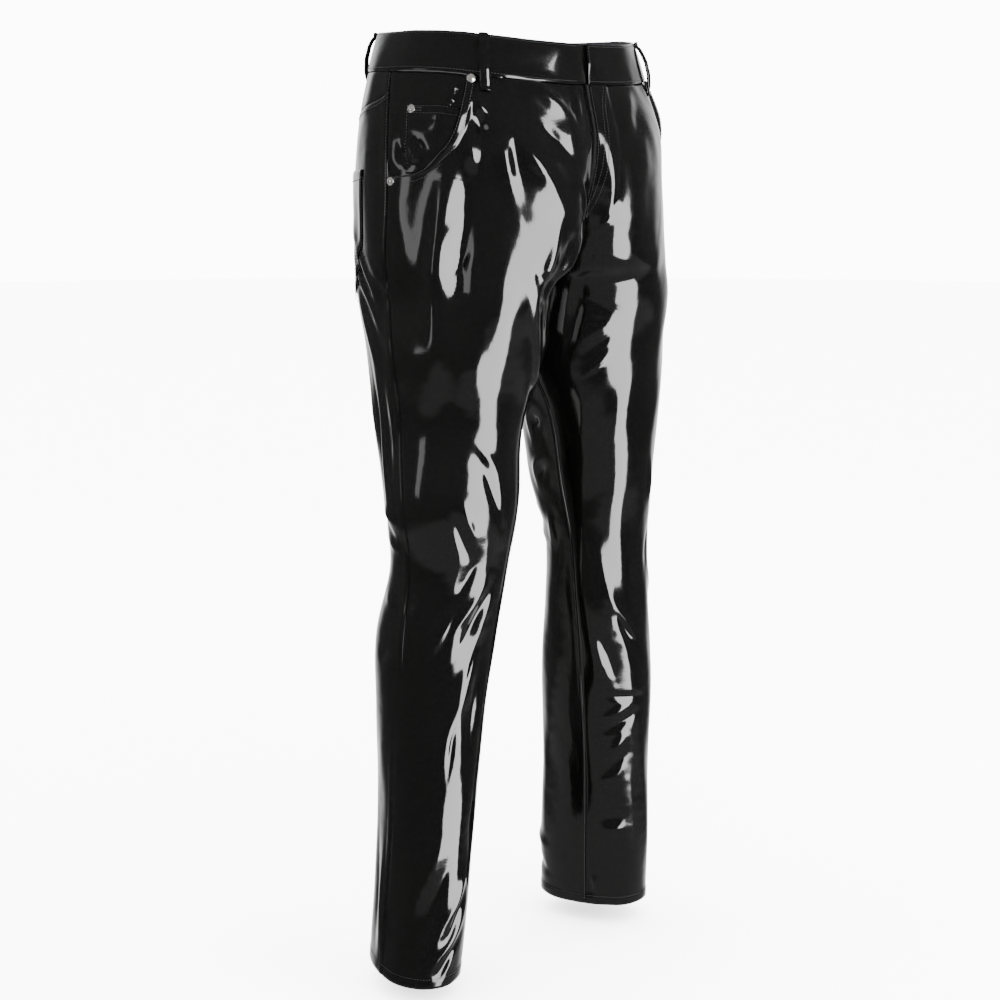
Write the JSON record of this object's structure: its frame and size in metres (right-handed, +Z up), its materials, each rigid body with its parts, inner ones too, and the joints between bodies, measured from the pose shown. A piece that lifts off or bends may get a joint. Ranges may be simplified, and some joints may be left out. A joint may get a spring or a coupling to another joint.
{
  "type": "trousers",
  "caption": "Five-pocket trousers of glossy black pvc cloth, filled out as if worn by a standing figure, with waistband, belt loops, yoke, patch pockets and rivets.",
  "frame": {"origin": "middle of the waist opening, level with the waistband's top edge at the sides, where a wearer or a hanger clip holds the trousers", "axes": "+Z up, -Y the wearer's front, +X the wearer's left"},
  "size_m": [0.4252, 0.2987, 1.0766],
  "materials": {
    "black_pvc_cloth": "high-gloss black pvc coating on a thin knitted backing",
    "nickel_rivet": "bright nickel-plated dome"
  },
  "bodies": {
    "root": {"front_right": "black_pvc_cloth", "front_left": "black_pvc_cloth", "back_right": "black_pvc_cloth", "back_left": "black_pvc_cloth", "yoke_right": "black_pvc_cloth", "yoke_left": "black_pvc_cloth", "waistband": "black_pvc_cloth", "belt_loop_front_right": "black_pvc_cloth", "belt_loop_front_left": "black_pvc_cloth", "belt_loop_back_right": "black_pvc_cloth", "belt_loop_back_left": "black_pvc_cloth", "belt_loop_centre_back": "black_pvc_cloth", "pocket_facing_right": "black_pvc_cloth", "pocket_facing_left": "black_pvc_cloth", "coin_pocket": "black_pvc_cloth", "back_pocket_right": "black_pvc_cloth", "back_pocket_left": "black_pvc_cloth", "rivet_pocket_top_right": "nickel_rivet", "rivet_pocket_low_right": "nickel_rivet", "rivet_coin_pocket": "nickel_rivet", "rivet_pocket_top_left": "nickel_rivet", "rivet_pocket_low_left": "nickel_rivet"}
  },
  "joints": []
}
